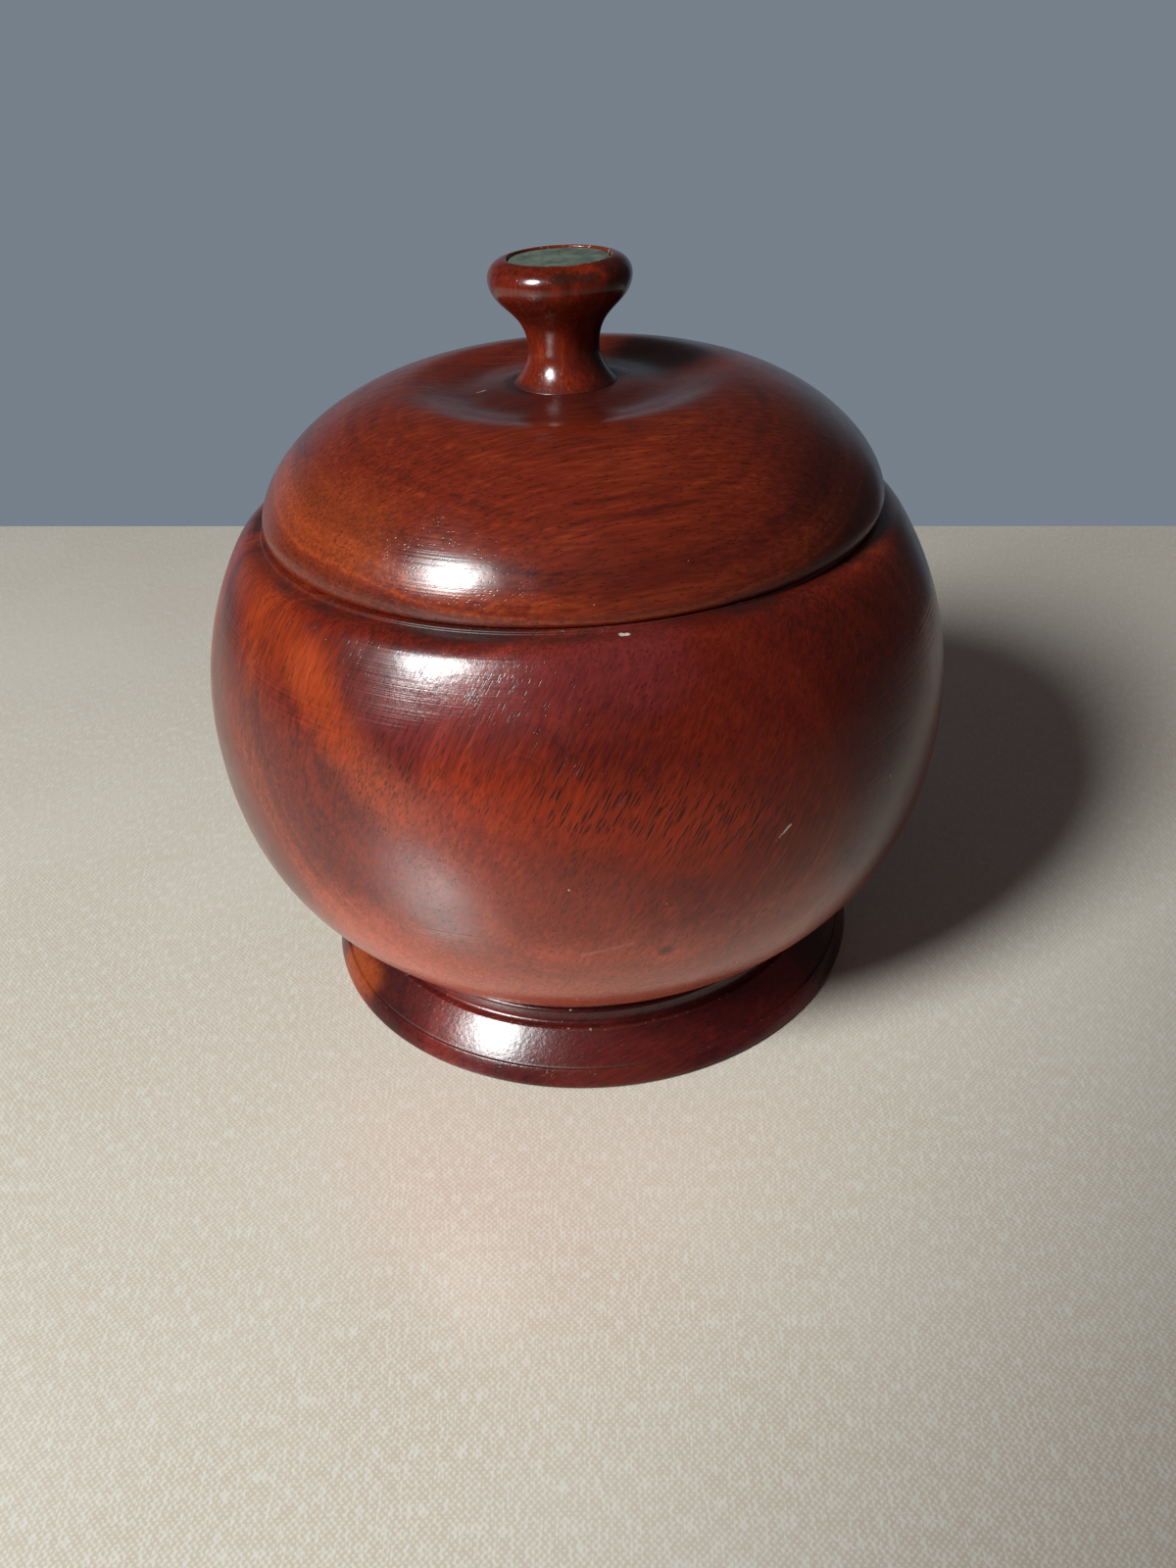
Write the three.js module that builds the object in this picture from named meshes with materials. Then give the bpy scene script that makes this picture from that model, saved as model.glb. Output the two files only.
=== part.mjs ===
// A turned wooden storage jar: a hollow bowl on a moulded foot, and a loose
// lid that carries a mushroom knob with a round stone disc let into its top.
// Millimetres, +Z up. The jar's axis is the Z axis and it stands on Z = 0.
import * as THREE from 'three';

// Foot: a low turned ring that the bowl is glued down on
const footRadius = 79.8;
const footHeight = 18;
const footHollowRadius = 62;
const footHollowDepth = 4;
const footEdgeRound = 0.8;
const bandHeight = 5.1;
const bandTaper = 2.4;
const bandStep = 0.5;
const slopeTopRadius = 69.6;
const slopeTopHeight = 12.5;
const slopeSwell = 0.15;
const ledgeWidth = 1;
const coveDepth = 2.7;
const beadRadius = 1.2;
const neckHeight = 1.4;
const neckTaper = 1.4;

// Bowl: nearly a ball, a little fuller below its widest line than a circle
const bellyRadius = 100;
const bellyHeight = 85;
const bellyFullness = 2.33;
const bowlBaseRadius = 62.8;
const shoulderRadius = 86.3;
const shoulderHeight = 131.1;
const rimHeight = 136;
const rimStep = 0.7;
const mouthRadius = 68;
const bowlWall = 9;
const bowlFloor = 10.4;

// Glue joint of bowl and foot: a short round tenon in a blind hole
const baseTenonRadius = 34;
const baseTenonLength = 5;

// Lid: a bulging rim that rises to a crest, then dips in a dish round the knob
const lidRadius = 79.5;
const lidOverhang = 0.7;
const lidEdgeRound = 1.3;
const lidEdgeHeight = 2.2;
const crestRadius = 40;
const crestRise = 30.3;
const lidBulge = 1.6;
const dishRadius = 25;
const dishDepth = 2.2;
const dishRise = 1.2;
const lidCentreWall = 11.5;
const ceilingFullness = 2.6;

// Spigot: the ring under the lid that drops into the mouth with play.
// The lid lies off centre in the photographed jar, and the play allows it.
const lidDriftRight = 1.3;
const lidDriftBack = 1.2;
const spigotPlay = 0.4;
const spigotDepth = 6;
const spigotWall = 6;
const collarSpare = 1;

// Knob: a waisted spindle under a bulging cap
const skirtRadius = 12.9;
const waistRadius = 8.7;
const waistHeight = 8;
const skirtSweep = 1.9;
const capRadius = 17.4;
const capHeight = 24.7;
const knobHeight = 29;
const capLip = 0.3;
const knobTenonRadius = 6;
const knobTenonLength = 8;

// Disc: a slice of green stone in the top of the knob
const discRadius = 12.1;
const discThickness = 3;
const discSunk = 0.5;
const discBevel = 0.3;

// Clearances that every glued joint and inlay shares
const sideGap = 0.3;
const endGap = 0.5;

// Facets round the axis
const largeSides = 60;
const smallSides = 36;

// Sizes that follow from the ones above
const bowlSeatHeight = footHeight;
const seatRadius = lidRadius - lidOverhang;
const lidSeatHeight = rimHeight;
const spigotRadius = mouthRadius - Math.hypot(lidDriftRight, lidDriftBack) - spigotPlay;
const collarDepth = spigotDepth + collarSpare;
const crestHeight = lidSeatHeight + crestRise;
const knobSeatHeight = crestHeight - dishDepth + dishRise;
const knobTopHeight = knobSeatHeight + knobHeight;
const discTopHeight = knobTopHeight - discSunk;
const discFloorHeight = discTopHeight - discThickness;
const recessRadius = discRadius + sideGap;

const point = (radius, height) => new THREE.Vector2(radius, height);

// Quarter of a superellipse, from the widest point to the crown. It is centred
// at (centreRadius, centreHeight), with the given half width and half height.
// Fullness 2 is an ellipse, and more is squarer. The sweep runs from 0 to 1.
function quarter(centreRadius, centreHeight, halfWidth, halfHeight, fullness, from, to, steps) {
  const points = [];
  for (let i = 0; i <= steps; i++) {
    const angle = (from + ((to - from) * i) / steps) * (Math.PI / 2);
    const radius = centreRadius + halfWidth * Math.max(Math.cos(angle), 0) ** (2 / fullness);
    const height = centreHeight + halfHeight * Math.max(Math.sin(angle), 0) ** (2 / fullness);
    points.push(point(radius, height));
  }
  return points;
}

// Half height of a superellipse quarter that passes through a given point
function halfHeightThrough(halfWidth, fullness, radius, rise) {
  return rise / (1 - (radius / halfWidth) ** fullness) ** (1 / fullness);
}

// Sweep, from 0 to 1, at which that quarter has reached the given rise
function sweepAt(halfHeight, fullness, rise) {
  return Math.asin((rise / halfHeight) ** (fullness / 2)) / (Math.PI / 2);
}

function arc(centreRadius, centreHeight, radius, fromDegrees, toDegrees, steps) {
  const points = [];
  for (let i = 0; i <= steps; i++) {
    const degrees = fromDegrees + ((toDegrees - fromDegrees) * i) / steps;
    const angle = THREE.MathUtils.degToRad(degrees);
    points.push(point(centreRadius + radius * Math.cos(angle), centreHeight + radius * Math.sin(angle)));
  }
  return points;
}

// Leaves out points that fall on the one before, where two curves join
function withoutRepeats(points) {
  return points.filter((each, i) => i === 0 || each.distanceTo(points[i - 1]) > 1e-6);
}

// Revolves a profile that starts and ends on the axis, the underside first
function turned(name, profile, sides, colour, roughness) {
  const geometry = new THREE.LatheGeometry(withoutRepeats(profile), sides);
  geometry.rotateX(Math.PI / 2);
  const material = new THREE.MeshStandardMaterial({ color: colour, roughness, metalness: 0 });
  const mesh = new THREE.Mesh(geometry, material);
  mesh.name = name;
  return mesh;
}

// The foot, from its hollowed underside out over the band, slope, ledge, cove and bead
function makeFoot() {
  const bandTopRadius = footRadius - bandTaper;
  const slopeStart = point(bandTopRadius - bandStep, bandHeight);
  const slopeEnd = point(slopeTopRadius, slopeTopHeight);
  const slopeMiddle = slopeStart.clone().lerp(slopeEnd, 0.5);
  const outward = point(slopeEnd.y - slopeStart.y, slopeStart.x - slopeEnd.x).normalize();
  const slopeControl = slopeMiddle.addScaledVector(outward, 2 * slopeSwell);
  const ledgeEnd = point(slopeTopRadius - ledgeWidth, slopeTopHeight);
  const beadCentre = point(slopeTopRadius - coveDepth - beadRadius, footHeight - neckHeight - beadRadius);
  const coveEnd = point(beadCentre.x + beadRadius, beadCentre.y);
  return turned('foot', [
    point(0, footHollowDepth),
    point(footHollowRadius - footHollowDepth, footHollowDepth),
    point(footHollowRadius, 0),
    point(footRadius - footEdgeRound, 0),
    point(footRadius, footEdgeRound),
    point(footRadius - bandTaper / 3, bandHeight / 2),
    point(bandTopRadius, bandHeight),
    ...new THREE.QuadraticBezierCurve(slopeStart, slopeControl, slopeEnd).getPoints(3),
    ...new THREE.QuadraticBezierCurve(ledgeEnd, point(coveEnd.x, ledgeEnd.y), coveEnd).getPoints(3),
    ...arc(beadCentre.x, beadCentre.y, beadRadius, 0, 90, 3),
    point(beadCentre.x - neckTaper, footHeight),
    point(baseTenonRadius + sideGap, footHeight),
    point(baseTenonRadius + sideGap, footHeight - baseTenonLength - endGap),
    point(0, footHeight - baseTenonLength - endGap),
  ], largeSides, 0x6e2a1a, 0.3);
}

// The outer skin of the bowl, from its flat base up to the foot of the seat
function bowlOutside() {
  const drop = bellyHeight - bowlSeatHeight;
  const lowerHalf = halfHeightThrough(bellyRadius, bellyFullness, bowlBaseRadius, drop);
  const lowerEnd = sweepAt(lowerHalf, bellyFullness, drop);
  const lower = quarter(0, bellyHeight, bellyRadius, -lowerHalf, bellyFullness, lowerEnd, 0, 10);
  const rise = shoulderHeight - bellyHeight;
  const upperHalf = halfHeightThrough(bellyRadius, 2, shoulderRadius, rise);
  const upper = quarter(0, bellyHeight, bellyRadius, upperHalf, 2, 0, sweepAt(upperHalf, 2, rise), 7);
  const slope = (upperHalf ** 2 * shoulderRadius) / (bellyRadius ** 2 * rise);
  const lipHeight = rimHeight - rimStep;
  const lip = new THREE.QuadraticBezierCurve(
    point(shoulderRadius, shoulderHeight),
    point(shoulderRadius - (lipHeight - shoulderHeight) / slope, lipHeight),
    point(seatRadius, lipHeight),
  );
  return [...lower, ...upper, ...lip.getPoints(4)];
}

// The hollow of the bowl, from the mouth's collar down to the floor's centre
function bowlInside() {
  const innerRadius = bellyRadius - bowlWall;
  const collarRise = rimHeight - collarDepth - bellyHeight;
  const upperHalf = halfHeightThrough(innerRadius, 2, mouthRadius, collarRise);
  const upperEnd = sweepAt(upperHalf, 2, collarRise);
  const lowerHalf = bellyHeight - bowlSeatHeight - bowlFloor;
  return [
    point(mouthRadius, rimHeight),
    ...quarter(0, bellyHeight, innerRadius, upperHalf, 2, upperEnd, 0, 6),
    ...quarter(0, bellyHeight, innerRadius, -lowerHalf, bellyFullness, 0, 1, 9),
  ];
}

function makeBowl() {
  return turned('bowl', [
    point(0, bowlSeatHeight - baseTenonLength),
    point(baseTenonRadius, bowlSeatHeight - baseTenonLength),
    point(baseTenonRadius, bowlSeatHeight),
    ...bowlOutside(),
    point(seatRadius, rimHeight),
    ...bowlInside(),
  ], largeSides, 0x8c3418, 0.25);
}

// Half a wave from one point of a profile to another, level at both
function halfWave(from, to, steps) {
  const points = [];
  for (let i = 1; i <= steps; i++) {
    const share = i / steps;
    const rise = ((to.y - from.y) * (1 - Math.cos(Math.PI * share))) / 2;
    points.push(point(from.x + (to.x - from.x) * share, from.y + rise));
  }
  return points;
}

// The dish round the knob: down from the crest, and up a little to the knob
function lidDish() {
  const crest = point(crestRadius, crestHeight);
  const lowest = point(dishRadius, crestHeight - dishDepth);
  const seat = point(skirtRadius + sideGap, knobSeatHeight);
  return [...halfWave(crest, lowest, 5), ...halfWave(lowest, seat, 4)];
}

// The lid, from the ceiling of its hollow out over the spigot, rim and crest
function makeLid() {
  const hollowRadius = spigotRadius - spigotWall;
  const ceilingRise = knobSeatHeight - lidCentreWall - lidSeatHeight;
  const edgeCentre = lidRadius - lidEdgeRound;
  const widestHeight = lidSeatHeight + lidEdgeHeight;
  const boreRadius = knobTenonRadius + sideGap;
  const boreFloor = knobSeatHeight - knobTenonLength - endGap;
  return turned('lid', [
    ...quarter(0, lidSeatHeight, hollowRadius, ceilingRise, ceilingFullness, 1, 0, 8),
    point(hollowRadius, lidSeatHeight - spigotDepth),
    point(spigotRadius, lidSeatHeight - spigotDepth),
    point(spigotRadius, lidSeatHeight),
    ...arc(edgeCentre, lidSeatHeight + lidEdgeRound, lidEdgeRound, -90, 0, 3),
    ...quarter(crestRadius, widestHeight, lidRadius - crestRadius, crestHeight - widestHeight,
      lidBulge, 0, 1, 10),
    ...lidDish(),
    point(boreRadius, knobSeatHeight),
    point(boreRadius, boreFloor),
    point(0, boreFloor),
  ], largeSides, 0x8a3a1c, 0.25);
}

// The knob's skirt, which narrows from the lid up to the waist
function knobSkirt() {
  const points = [];
  const steps = 6;
  for (let i = 0; i <= steps; i++) {
    const share = i / steps;
    const flare = (skirtRadius - waistRadius) * (1 - share) ** skirtSweep;
    points.push(point(waistRadius + flare, knobSeatHeight + waistHeight * share));
  }
  return points;
}

function makeKnob() {
  const waist = knobSeatHeight + waistHeight;
  const widest = knobSeatHeight + capHeight;
  const lipRadius = recessRadius + capLip;
  const underCap = new THREE.CubicBezierCurve(
    point(waistRadius, waist),
    point(waistRadius, waist + (widest - waist) * 0.61),
    point(capRadius, waist + (widest - waist) * 0.58),
    point(capRadius, widest),
  );
  return turned('knob', [
    point(0, knobSeatHeight - knobTenonLength),
    point(knobTenonRadius, knobSeatHeight - knobTenonLength),
    point(knobTenonRadius, knobSeatHeight),
    ...knobSkirt(),
    ...underCap.getPoints(9),
    ...quarter(lipRadius, widest, capRadius - lipRadius, knobTopHeight - widest, 2, 0, 1, 5),
    point(recessRadius, knobTopHeight - capLip),
    point(recessRadius, discFloorHeight),
    point(0, discFloorHeight),
  ], smallSides, 0x9a3410, 0.2);
}

function makeDisc() {
  return turned('stone_disc', [
    point(0, discFloorHeight),
    point(discRadius, discFloorHeight),
    point(discRadius, discTopHeight - discBevel),
    point(discRadius - discBevel, discTopHeight),
    point(0, discTopHeight),
  ], smallSides, 0x5c6a5e, 0.35);
}

// The lid and what it carries lie a little off the bowl's axis
function makeLidGroup() {
  const group = new THREE.Group();
  group.add(makeLid(), makeKnob(), makeDisc());
  group.position.set(lidDriftRight, lidDriftBack, 0);
  return group;
}

const jar = new THREE.Group();
jar.add(makeFoot(), makeBowl(), makeLidGroup());

export default jar;
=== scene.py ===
# %% [markdown]
# # A turned wooden storage jar
# The real jar is turned on a lathe from a dark red African hardwood: a hollow
# bowl glued to a moulded foot, and a loose lid with a mushroom knob whose top
# holds a round green stone. The measured model is loaded first. It stays as it
# is, and every piece made here is a finer skin over one of its solids.

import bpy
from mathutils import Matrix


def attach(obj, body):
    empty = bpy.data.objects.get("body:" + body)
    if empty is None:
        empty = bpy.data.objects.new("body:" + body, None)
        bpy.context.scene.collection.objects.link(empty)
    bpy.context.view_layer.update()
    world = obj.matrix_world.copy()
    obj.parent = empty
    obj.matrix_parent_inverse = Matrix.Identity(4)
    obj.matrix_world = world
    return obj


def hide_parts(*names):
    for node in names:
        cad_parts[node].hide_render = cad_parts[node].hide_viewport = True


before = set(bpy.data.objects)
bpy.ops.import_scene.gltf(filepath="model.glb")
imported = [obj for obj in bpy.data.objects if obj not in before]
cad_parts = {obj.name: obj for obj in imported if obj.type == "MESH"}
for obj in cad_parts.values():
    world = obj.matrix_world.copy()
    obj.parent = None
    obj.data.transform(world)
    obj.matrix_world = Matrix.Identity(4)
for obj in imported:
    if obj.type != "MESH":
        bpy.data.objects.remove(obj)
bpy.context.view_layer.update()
print("solids:", sorted(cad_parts))

# %% Tools for the lesson
import math

import bpy
from mathutils import Matrix, Vector

mm = 0.001
scene = bpy.context.scene
print("Blender", bpy.app.version_string)

# %% [markdown]
# ## Camera
# The jar was photographed from close by with a wide lens, so the lid looks
# large and the foot small. The lens and the place of the camera were fitted to
# the outlines of the lid, belly and foot. A camera that is only set up by eye
# gives the right height or the right taper, but seldom both.

# %% Camera
picture_height = 1600
focal_length_in_pixels = 1250
look_down = math.radians(33.585)
look_left = math.radians(1.838)
roll = math.radians(-3.32)
camera_place = (0.0109, -0.3078, 0.2499)

camera_data = bpy.data.cameras.new("jar camera")
camera_data.sensor_width = 36
camera_data.lens = focal_length_in_pixels * camera_data.sensor_width / picture_height
camera = bpy.data.objects.new("jar camera", camera_data)
scene.collection.objects.link(camera)
turn = Matrix.Rotation(look_left, 4, "Z")
turn = turn @ Matrix.Rotation(math.pi / 2 - look_down, 4, "X")
turn = turn @ Matrix.Rotation(roll, 4, "Z")
camera.matrix_world = Matrix.Translation(camera_place) @ turn
scene.camera = camera
print("lens:", round(camera_data.lens, 2), "mm")

# %% [markdown]
# ## Writing node trees as text
# Materials and Geometry Nodes are trees of nodes. Placed by hand they are quick
# to try, but written down they can be read from top to bottom. This small
# bench adds a node, fills its sockets and hands back an output, so that a
# recipe becomes a few lines of plain sums.

# %% A bench for nodes
class Bench:
    """Adds nodes to one tree. A value may be a number, a colour or an output."""

    def __init__(self, tree):
        self.tree = tree
        self.placed = 0

    def add(self, kind, inputs=None, **settings):
        node = self.tree.nodes.new(kind)
        node.location = (220 * (self.placed // 6), -180 * (self.placed % 6))
        self.placed += 1
        for name, value in settings.items():
            setattr(node, name, value)
        for name, value in (inputs or {}).items():
            self.fill(node.inputs[name], value)
        return node

    def fill(self, socket, value):
        if isinstance(value, bpy.types.NodeSocket):
            self.tree.links.new(value, socket)
        else:
            socket.default_value = value

    def sum(self, operation, *values, clamp=False):
        node = self.add("ShaderNodeMath", operation=operation, use_clamp=clamp)
        for socket, value in zip(node.inputs, values):
            self.fill(socket, value)
        return node.outputs[0]

    def times(self, first, second, clamp=False):
        return self.sum("MULTIPLY", first, second, clamp=clamp)

    def plus(self, base, value, share=1.0, clamp=False):
        """Adds a share of a value to the base."""
        return self.sum("MULTIPLY_ADD", value, share, base, clamp=clamp)

    def vector(self, operation, *values, out="Vector"):
        node = self.add("ShaderNodeVectorMath", operation=operation)
        for socket, value in zip(node.inputs, values):
            self.fill(socket, value)
        return node.outputs[out]

    def scaled(self, vector, factor):
        return self.add("ShaderNodeVectorMath", {0: vector, "Scale": factor},
                        operation="SCALE").outputs[0]

    def split(self, vector):
        return self.add("ShaderNodeSeparateXYZ", {0: vector}).outputs

    def join(self, x, y, z):
        return self.add("ShaderNodeCombineXYZ", {0: x, 1: y, 2: z}).outputs[0]

    def ease(self, value, low, high, to_low=0.0, to_high=1.0):
        """A soft step: to_low below low, to_high above high."""
        node = self.add("ShaderNodeMapRange", interpolation_type="SMOOTHSTEP")
        for name, number in zip(("Value", "From Min", "From Max", "To Min", "To Max"),
                                (value, low, high, to_low, to_high)):
            self.fill(node.inputs[name], number)
        return node.outputs[0]

    def blend(self, share, first, second, kind="MIX"):
        """Mixes two colours."""
        node = self.add("ShaderNodeMix", data_type="RGBA", blend_type=kind)
        self.fill(node.inputs[0], share)
        self.fill(node.inputs[6], first)
        self.fill(node.inputs[7], second)
        return node.outputs[2]

    def noise(self, place, detail=2.0, rough=0.5, along=None):
        """Soft noise, from 0 to 1. With along it runs on one number alone."""
        if along is not None:
            node = self.add("ShaderNodeTexNoise", noise_dimensions="1D")
            self.fill(node.inputs["W"], along)
        else:
            node = self.add("ShaderNodeTexNoise", noise_dimensions="3D")
            self.fill(node.inputs["Vector"], place)
        node.inputs["Scale"].default_value = 1
        node.inputs["Detail"].default_value = detail
        node.inputs["Roughness"].default_value = rough
        return node.outputs[0]

    def use(self, group, inputs):
        """Places a node group with its own values."""
        node = self.add("ShaderNodeGroup")
        node.node_tree = group
        node.label = group.name
        for name, value in inputs.items():
            self.fill(node.inputs[name], value)
        return node.outputs


def new_group(name, inputs, outputs, kind="ShaderNodeTree"):
    """Starts a node group. Each input is a name, a socket type and a value."""
    tree = bpy.data.node_groups.new(name, kind)
    for label, socket_type, value in inputs:
        socket = tree.interface.new_socket(label, in_out="INPUT", socket_type=socket_type)
        if value is not None:
            socket.default_value = value
    for label, socket_type in outputs:
        tree.interface.new_socket(label, in_out="OUTPUT", socket_type=socket_type)
    bench = Bench(tree)
    return bench, bench.add("NodeGroupInput").outputs, bench.add("NodeGroupOutput").inputs


NUMBER, PLACE, COLOUR = "NodeSocketFloat", "NodeSocketVector", "NodeSocketColor"
print("bench:", [name for name in vars(Bench) if not name.startswith("_")])

# %% [markdown]
# ## Outlines
# Everything on this jar is round, so a piece is known by the outline that the
# turner's gouge followed. An outline here is a list of (radius, height) points
# from the axis under the piece round to the axis above it. Drawing it from a
# few curves keeps the sizes of the measured model.

# %% Curves for outlines
def quarter(centre_radius, centre_height, half_width, half_height, fullness,
            start, end, steps):
    """Part of a superellipse's quarter. Fullness 2 is an ellipse, more is squarer."""
    points = []
    for i in range(steps + 1):
        angle = (start + (end - start) * i / steps) * math.pi / 2
        across = max(math.cos(angle), 0) ** (2 / fullness)
        up = max(math.sin(angle), 0) ** (2 / fullness)
        points.append((centre_radius + half_width * across, centre_height + half_height * up))
    return points


def half_height_through(half_width, fullness, radius, rise):
    return rise / (1 - (radius / half_width) ** fullness) ** (1 / fullness)


def sweep_at(half_height, fullness, rise):
    return math.asin((rise / half_height) ** (fullness / 2)) / (math.pi / 2)


def bent(controls, steps):
    """A Bezier curve through its first and last control point."""
    points = []
    for i in range(steps + 1):
        row = [Vector(c) for c in controls]
        while len(row) > 1:
            row = [a.lerp(b, i / steps) for a, b in zip(row, row[1:])]
        points.append(tuple(row[0]))
    return points


def arc(centre_radius, centre_height, radius, start, end, steps):
    turns = [math.radians(start + (end - start) * i / steps) for i in range(steps + 1)]
    return [(centre_radius + radius * math.cos(a), centre_height + radius * math.sin(a))
            for a in turns]


print("a bend in four steps:", [tuple(round(v, 2) for v in spot)
                                for spot in bent([(0, 0), (1, 0), (1, 1)], 4)])

# %% [markdown]
# A gouge leaves long fair curves, and sandpaper takes the sharpness off each
# arris. So an outline is sanded where two curves meet, eased at its corners,
# and given points close enough together for a smooth highlight. The corners
# are remembered, because wear shows on the ones that stand out, and dirt and
# old polish stay in the ones that lie deep.

# %% Sanding and easing
def spaced(points, step):
    """Cuts long stretches into equal parts of no more than the step."""
    fine = [points[0]]
    for a, b in zip(points, points[1:]):
        length = math.dist(a, b)
        if length < 1e-6:
            continue
        parts = max(1, math.ceil(length / step))
        fine += [tuple(Vector(a).lerp(Vector(b), k / parts)) for k in range(1, parts + 1)]
    return fine


def sanded(points, passes):
    """Evens out small kinks where curves meet. The ends stay where they are."""
    for _ in range(passes):
        middle = [((a[0] + 2 * b[0] + c[0]) / 4, (a[1] + 2 * b[1] + c[1]) / 4)
                  for a, b, c in zip(points, points[1:], points[2:])]
        points = [points[0], *middle, points[-1]]
    return points


def eased(points, reach, sharpest=25):
    """Rounds each corner. Gives (radius, height, proud, deep) rows."""
    rows = []
    for i, (radius, height) in enumerate(points):
        here = Vector((radius, height))
        if 0 < i < len(points) - 1:
            back = Vector(points[i - 1]) - here
            on = Vector(points[i + 1]) - here
            bend = math.degrees((-back).angle(on))
            if bend > sharpest:
                proud = on.x * back.y - on.y * back.x > 0
                cut = min(reach, back.length * 0.45, on.length * 0.45)
                start, end = here + back.normalized() * cut, here + on.normalized() * cut
                for spot in bent([start, here, end], 4):
                    rows.append((*spot, float(proud), float(not proud)))
                continue
        rows.append((radius, height, 0.0, 0.0))
    return rows


print("one corner eased:", len(eased([(0, 0), (1, 0), (1, 1)], 0.1)), "points in place of 3")

# %% [markdown]
# ## The lathe
# A lathe spins a blank while the outline is cut, and a Geometry Nodes tree can
# do the same: it lays out one column of points for each step round the axis,
# moves every column to its own angle, and closes the seam and the two poles by
# merging. A Screw modifier would also do, but a tree keeps its sizes as named
# inputs and can carry the marks of each corner round with the outline.

# %% The lathe as a Geometry Nodes tree
def build_lathe():
    bench, given, result = new_group("turned on the lathe", [
        ("Outline", "NodeSocketGeometry", None),
        ("Steps round", "NodeSocketInt", 192),
        ("Axis right", NUMBER, 0.0),
        ("Axis back", NUMBER, 0.0),
        ("Finish", "NodeSocketMaterial", None),
    ], [("Piece", "NodeSocketGeometry")], "GeometryNodeTree")
    count = bench.add("GeometryNodeAttributeDomainSize", {"Geometry": given["Outline"]})
    rows = count.outputs["Point Count"]
    columns = bench.sum("ADD", given["Steps round"], 1)
    grid = bench.add("GeometryNodeMeshGrid", {"Vertices X": columns, "Vertices Y": rows})
    index = bench.add("GeometryNodeInputIndex").outputs[0]
    row = bench.sum("FLOORED_MODULO", index, rows)
    column = bench.sum("FLOOR", bench.sum("DIVIDE", bench.sum("ADD", index, 0.5), rows))

    def carried(value, data_type):
        sample = bench.add("GeometryNodeSampleIndex", data_type=data_type, domain="POINT")
        bench.fill(sample.inputs["Geometry"], given["Outline"])
        bench.fill(sample.inputs["Value"], value)
        bench.fill(sample.inputs["Index"], row)
        return sample.outputs[0]

    outline = carried(bench.add("GeometryNodeInputPosition").outputs[0], "FLOAT_VECTOR")
    angle = bench.sum("DIVIDE", bench.times(column, math.tau), given["Steps round"])
    spun = bench.add("ShaderNodeVectorRotate", {"Vector": outline, "Angle": angle},
                     rotation_type="Z_AXIS").outputs[0]
    axis = bench.join(given["Axis right"], given["Axis back"], 0.0)
    piece = bench.add("GeometryNodeSetPosition", {
        "Geometry": grid.outputs["Mesh"], "Position": bench.vector("ADD", spun, axis),
    }).outputs[0]
    for mark in ("proud", "deep", "inside", "cut"):
        value = bench.add("GeometryNodeInputNamedAttribute", {"Name": mark}, data_type="FLOAT")
        piece = bench.add("GeometryNodeStoreNamedAttribute", {
            "Geometry": piece, "Name": mark, "Value": carried(value.outputs[0], "FLOAT"),
        }, data_type="FLOAT", domain="POINT").outputs[0]
    piece = bench.add("GeometryNodeMergeByDistance", {
        "Geometry": piece, "Distance": 1e-6}).outputs[0]
    piece = bench.add("GeometryNodeSetShadeSmooth", {"Geometry": piece}).outputs[0]
    piece = bench.add("GeometryNodeRealizeInstances", {"Geometry": piece}).outputs[0]
    piece = bench.add("GeometryNodeSetMaterial", {
        "Geometry": piece, "Material": given["Finish"]}).outputs[0]
    bench.fill(result["Piece"], piece)
    return bench.tree


lathe = build_lathe()
print("lathe:", len(lathe.nodes), "nodes")

# %% Turning a piece
def volume_of(mesh):
    """Above zero where the faces of a closed mesh point outwards."""
    mesh.calc_loop_triangles()
    spots = [v.co for v in mesh.vertices]
    return sum(spots[t.vertices[0]].dot(spots[t.vertices[1]].cross(spots[t.vertices[2]]))
               for t in mesh.loop_triangles) / 6


def turned(name, rows, steps_round, finish, axis=(0.0, 0.0)):
    """Puts an outline on the lathe and hands back the finished piece."""
    outline = bpy.data.meshes.new(name + "_outline")
    spots = [(row[0], 0, row[1]) for row in rows]
    outline.from_pydata(spots, [(i, i + 1) for i in range(len(spots) - 1)], [])
    cut, length = [0.0], 0.0
    for a, b in zip(rows, rows[1:]):
        length += math.dist(a[:2], b[:2])
        cut.append(length)
    columns = {"proud": [r[2] for r in rows], "deep": [r[3] for r in rows],
               "inside": [r[4] for r in rows], "cut": cut}
    for mark, values in columns.items():
        outline.attributes.new(mark, "FLOAT", "POINT").data.foreach_set("value", values)
    blank = bpy.data.objects.new(name + "_blank", outline)
    scene.collection.objects.link(blank)
    modifier = blank.modifiers.new("lathe", "NODES")
    modifier.node_group = lathe
    named = {item.name: item.identifier for item in lathe.interface.items_tree}
    modifier[named["Steps round"]] = steps_round
    modifier[named["Axis right"]] = float(axis[0])
    modifier[named["Axis back"]] = float(axis[1])
    modifier[named["Finish"]] = finish
    ready = blank.evaluated_get(bpy.context.evaluated_depsgraph_get())
    mesh = bpy.data.meshes.new_from_object(ready)
    mesh.name = name
    bpy.data.objects.remove(blank)
    if volume_of(mesh) < 0:
        mesh.flip_normals()
    piece = bpy.data.objects.new(name, mesh)
    scene.collection.objects.link(piece)
    mesh.calc_loop_triangles()
    print(f"{name}: {len(mesh.loop_triangles)} triangles, {volume_of(mesh) * 1e6:.1f} cm3")
    return piece


# %% [markdown]
# ## The wood
# The jar is one red hardwood under a worn varnish: orange and purple-brown
# growth bands, fine darker rings, fibres, and open pores that show as short
# black dashes along the grain. A picture wrapped round the jar would tear at
# the poles. Wood is a solid, so the colour is worked out from the place of
# each point in the tree: how far it is from the pith, and how far up the trunk.
# Grain coordinates are in millimetres, with the trunk along their Z axis.

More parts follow.
